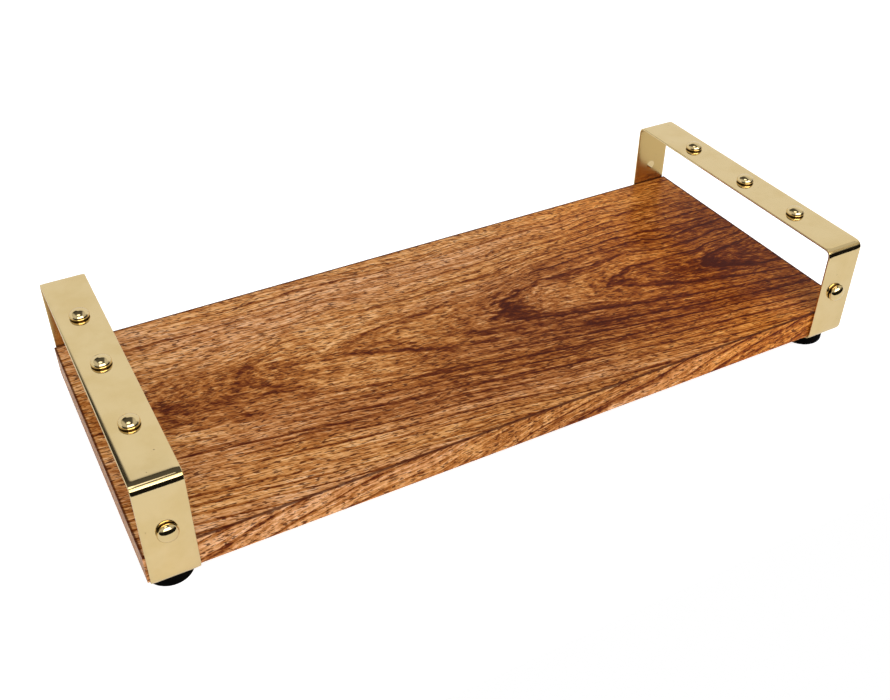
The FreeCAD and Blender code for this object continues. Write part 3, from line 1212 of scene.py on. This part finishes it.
@dataclass
class Feet:
    """The four rubber feet with their washers and screws.

    Attributes:
        edge: Rounding of a foot's lower rim.
        well: Diameter of the well for the screw head.
        floor: Rubber between the well and the strip.
        hole: Diameter of the screw's hole.
        washer: Thickness of the washer.
        washer_play: Gap between the washer's rim and the well.
        shank: Diameter of the screw's shank.
        head: Diameter of the screw's head.
        head_height: Height of the screw's head.
        head_rim: Upright part of the head's side.
        head_flat: Diameter of the flat on the head.
        point: Length of the screw's point.
        tip: Radius of the blunt end of the point.
        recess_width: Width of each arm of the cross recess.
        recess_length: Length across the recess.
        recess_depth: Depth of the recess.
    """

    edge: float = 1.5
    well: float = 11.0
    floor: float = 4.5
    hole: float = 4.5
    washer: float = 1.0
    washer_play: float = 0.3
    shank: float = 3.9
    head: float = 8.0
    head_height: float = 2.8
    head_rim: float = 1.0
    head_flat: float = 4.4
    point: float = 3.0
    tip: float = 0.4
    recess_width: float = 1.1
    recess_length: float = 4.2
    recess_depth: float = 1.4

    def build(self, turned: TurnedPieces, finishes: Finishes) -> None:
        """Makes the feet, the washers and the screws.

        Args:
            turned: The tree for turned pieces.
            finishes: The materials.
        """
        corners = [f"{side.name.lower()}_{face.name.lower()}" for side in Side for face in Face]
        spots = []
        for corner in corners:
            low, high = box_of(f"foot_{corner}")
            spots.append(Spot(Vector(((low.x + high.x) / 2.0, (low.y + high.y) / 2.0, 0.0)), UP))
        low, high = box_of(f"foot_{corners[0]}")
        point = box_of(f"foot_screw_{corners[0]}")[1].z
        seat = high.z - self.floor - self.washer
        foot = self._foot_profile((high.x - low.x) / 2.0, high.z)
        feet = turn_at(turned, "feet", finishes.rubber, foot, spots, 96)
        washers = turn_at(turned, "washers", finishes.steel, self._washer_profile(seat), spots, 64)
        screws = turn_at(turned, "screws", finishes.steel, self._screw_profile(seat, point), spots, 48)
        screws = cut_away(screws, self._cross_cutters(spots, seat))
        for name, mesh, finish, node, slot in (
            ("rubber_feet", feet, finishes.rubber, "foot", "foot_rubber"),
            ("steel_washers", washers, finishes.steel, "foot_washer", "fastener_steel"),
            ("steel_screws", screws, finishes.steel, "foot_screw", "fastener_steel"),
        ):
            set_down(name, mesh, finish, [f"{node}_{corner}" for corner in corners])

    def _foot_profile(self, radius: float, height: float) -> list[Vector]:
        """Outline of a foot, from its top hole round its outside and back up its well."""
        hole = self.hole / 2.0
        well = self.well / 2.0
        centre = flat(radius - self.edge, self.edge)
        rim = [centre + flat(math.cos(turn), -math.sin(turn)) * self.edge for turn in quarter(8)]
        well_top = height - self.floor
        outside = [flat(hole, height), flat(radius, height), *rim, flat(well, 0.0)]
        return outside + [flat(well, well_top), flat(hole, well_top), flat(hole, height)]

    def _washer_profile(self, seat: float) -> list[Vector]:
        """Outline of a washer."""
        hole = self.hole / 2.0
        rim = self.well / 2.0 - self.washer_play
        top = seat + self.washer
        corners = [(hole, seat), (hole, top), (rim, top), (rim, seat), (hole, seat)]
        return [flat(reach, height) for reach, height in corners]

    def _screw_profile(self, seat: float, point: float) -> list[Vector]:
        """Outline of a screw, from the middle of its head to its point."""
        top = self.head_flat / 2.0
        head = self.head / 2.0
        shank = self.shank / 2.0
        bottom = seat - self.head_height
        rim_height = self.head_height - self.head_rim
        bulge = [
            flat(top + (head - top) * math.sin(turn), seat - self.head_rim - rim_height * math.cos(turn))
            for turn in quarter(8)
        ]
        tail = [(head, seat), (shank, seat), (shank, point - self.point), (self.tip, point), (0.0, point)]
        return [flat(0.0, bottom), *bulge, *(flat(reach, height) for reach, height in tail)]

    def _cross_cutters(self, spots: Sequence[Spot], seat: float) -> bpy.types.Mesh:
        """Cross-shaped cutters for the recesses in the screw heads."""
        shape = bmesh.new()
        bottom = seat - self.head_height
        short, long = self.recess_width / 2.0, self.recess_length / 2.0
        ring = []
        arm = [(short, short), (short, long), (-short, long)]
        for _ in range(4):
            ring += arm
            arm = [(-y, x) for x, y in arm]
        for spot in spots:
            low, high = (
                [shape.verts.new((spot.centre + Vector((x, y, bottom + rise))) * MM) for x, y in ring]
                for rise in (-1.0, self.recess_depth)
            )
            shape.faces.new(low)
            shape.faces.new(high)
            for index in range(len(ring)):
                after = (index + 1) % len(ring)
                shape.faces.new((low[index], low[after], high[after], high[index]))
        bmesh.ops.recalc_face_normals(shape, faces=shape.faces)
        mesh = bpy.data.meshes.new("cross_cutters")
        shape.to_mesh(mesh)
        shape.free()
        return mesh


# ---------------------------------------------------------------- studio


@dataclass
class Studio:
    """The pale table, the soft light and the camera.

    Attributes:
        front_edge: How far the table reaches in front of the board's centre.
        table_glow: Light that the table gives by itself.
        table_shown: Light added to what the camera sees of it, so that it reads as white.
        wall_light: Light of the wall behind.
        flank_light: Light of the walls on the left and right.
        box_light: Light of the soft box in front.
        lamp_light: Light of the lamp straight above.
        azimuth: The camera's turn about the board, in degrees.
        elevation: The camera's height above the horizon, in degrees.
        roll: The camera's tilt about its own axis, in degrees.
        distance: From the camera to its target.
        target: The point that the camera looks at.
        lens: Focal length, on a 36 mm sensor.
    """

    front_edge: float = 210.0
    table_glow: float = 0.05
    table_shown: float = 0.56
    wall_light: float = 0.88
    flank_light: float = 0.60
    box_light: float = 4.4
    lamp_light: float = 2.0
    azimuth: float = -28.46137
    elevation: float = 37.56650
    roll: float = 0.21874
    distance: float = 670.4
    target: Vector = field(default_factory=lambda: Vector((-11.37, 0.09, 15.07)))
    lens: float = 43.92

    def build(self) -> None:
        """Sets up the table, the light and the camera."""
        self._table()
        self._sky()
        self._camera()
        bpy.context.scene.view_settings.view_transform = "Standard"
        bpy.context.scene.view_settings.look = "None"

    def _table(self) -> None:
        """Lays the table. It is clear from below, so that the feet can be seen."""
        reach = 2600.0
        front = -self.front_edge
        corners = [(-reach, front), (reach, front), (reach, reach), (-reach, reach)]
        mesh = bpy.data.meshes.new("table_top")
        mesh.from_pydata([(x * MM, y * MM, 0.0) for x, y in corners], [], [(0, 1, 2, 3)])
        table = bpy.data.objects.new("table_top", mesh)
        bpy.context.scene.collection.objects.link(table)
        material, bench = new_material("table_white")
        paint = bench.node("ShaderNodeBsdfDiffuse", {}, {"Color": (0.9, 0.9, 0.9)})
        seen = bench.node("ShaderNodeLightPath").out("Is Camera Ray")
        strength = seen * self.table_shown + self.table_glow
        glow = bench.node("ShaderNodeEmission", {}, {"Color": (1.0, 1.0, 1.0), "Strength": strength})
        lit = bench.node("ShaderNodeAddShader", {}, {0: paint, 1: glow})
        clear = bench.node("ShaderNodeBsdfTransparent")
        from_below = bench.node("ShaderNodeNewGeometry").out("Backfacing")
        shown = bench.node("ShaderNodeMixShader", {}, {0: from_below, 1: lit, 2: clear})
        bench.node("ShaderNodeOutputMaterial", {}, {"Surface": shown})
        mesh.materials.append(material)

    def _sky(self) -> None:
        """Lights the scene with walls, a soft box in front and a lamp above, with dark gaps between."""
        world = bpy.data.worlds.new("studio")
        bpy.context.scene.world = world
        world.use_nodes = True
        world.node_tree.nodes.clear()
        bench = Bench(world.node_tree)
        look = bench.node("ShaderNodeTexCoord").out("Generated")
        to_x, to_y, to_z = bench.split(look)
        rise = to_z.math("ARCSINE") * (180.0 / math.pi)
        turn = to_x.math("ARCTAN2", to_y * -1.0) * (180.0 / math.pi)
        off_front = turn.math("ABSOLUTE")
        wall_top = bench.ease(to_x, -0.06, 0.06) * 10.0 + 34.0
        wall = bench.ease(rise, -1.0, 1.0) * (1.0 - bench.ease(rise - wall_top, -2.0, 2.0))
        wall = wall * bench.ease(off_front, 78.0, 96.0)
        box = bench.ease(rise, 17.5, 20.5) * (1.0 - bench.ease(rise, 52.5, 55.5))
        box = box * (1.0 - bench.ease(off_front, 33.0, 37.0))
        beside, before = to_x + 0.10, to_y + 0.10
        lamp = bench.ease((beside * beside + before * before).math("SQRT"), 0.26, 0.18)
        lamp = lamp * bench.ease(to_z, 0.0, 0.1)
        flank = bench.ease(to_x.math("ABSOLUTE"), 0.30, 0.52) * bench.ease(rise, 8.0, 28.0)
        overhead = bench.ease(rise, 30.0, 60.0) * 0.09 + 0.01
        light = (wall * self.wall_light).math("MAXIMUM", flank * self.flank_light)
        light = light.math("MAXIMUM", box * self.box_light).math("MAXIMUM", lamp * self.lamp_light) + overhead
        seen = bench.node("ShaderNodeLightPath").out("Is Camera Ray")
        strength = seen + (1.0 - seen) * light
        shown = bench.node("ShaderNodeBackground", {}, {"Color": (1.0, 1.0, 1.0), "Strength": strength})
        bench.node("ShaderNodeOutputWorld", {}, {"Surface": shown})

    def _camera(self) -> None:
        """Places the camera."""
        turn, rise = math.radians(self.azimuth), math.radians(self.elevation)
        back = Vector((math.sin(turn) * math.cos(rise), -math.cos(turn) * math.cos(rise), math.sin(rise)))
        right = UP.cross(back).normalized()
        up = back.cross(right)
        tilt = math.radians(self.roll)
        level, upright = right, up
        right = level * math.cos(tilt) + upright * math.sin(tilt)
        up = upright * math.cos(tilt) - level * math.sin(tilt)
        data = bpy.data.cameras.new("board_camera")
        data.lens = self.lens
        data.sensor_width = 36.0
        data.dof.use_dof = False
        camera = bpy.data.objects.new("board_camera", data)
        bpy.context.scene.collection.objects.link(camera)
        turned = Matrix((right, up, back)).transposed().to_4x4()
        camera.matrix_world = Matrix.Translation((self.target + back * self.distance) * MM) @ turned
        bpy.context.scene.camera = camera


def main() -> None:
    """Builds the board, its two handles, its feet and the studio, in that order."""
    logging.basicConfig(level=logging.INFO, format="%(name)s: %(message)s")
    board = box_of("board")[1]
    strip = box_of("handle_strap_left")[1]
    finishes = Finishes(
        wood=LacqueredHardwood("lacquered_hardwood", board.z, board.x, board.y).build(),
        strip=PolishedBrass(
            "polished_brass_strip", inner_level=strip.z - 0.8, inner_reach=strip.y - 0.8
        ).build(),
        rivets=PolishedBrass(
            "polished_brass_rivets", roughness=0.07, foot_level=strip.z, foot_reach=strip.y
        ).build(),
        rubber=MouldedRubber("black_rubber").build(),
        steel=ZincSteel("zinc_steel").build(),
    )
    turned = TurnedPieces()
    strips = BentStrips()
    Board().build(finishes.wood)
    for side in Side:
        Handle(side).build(strips, turned, finishes)
    Feet().build(turned, finishes)
    Studio().build()


if __name__ == "__main__":
    main()
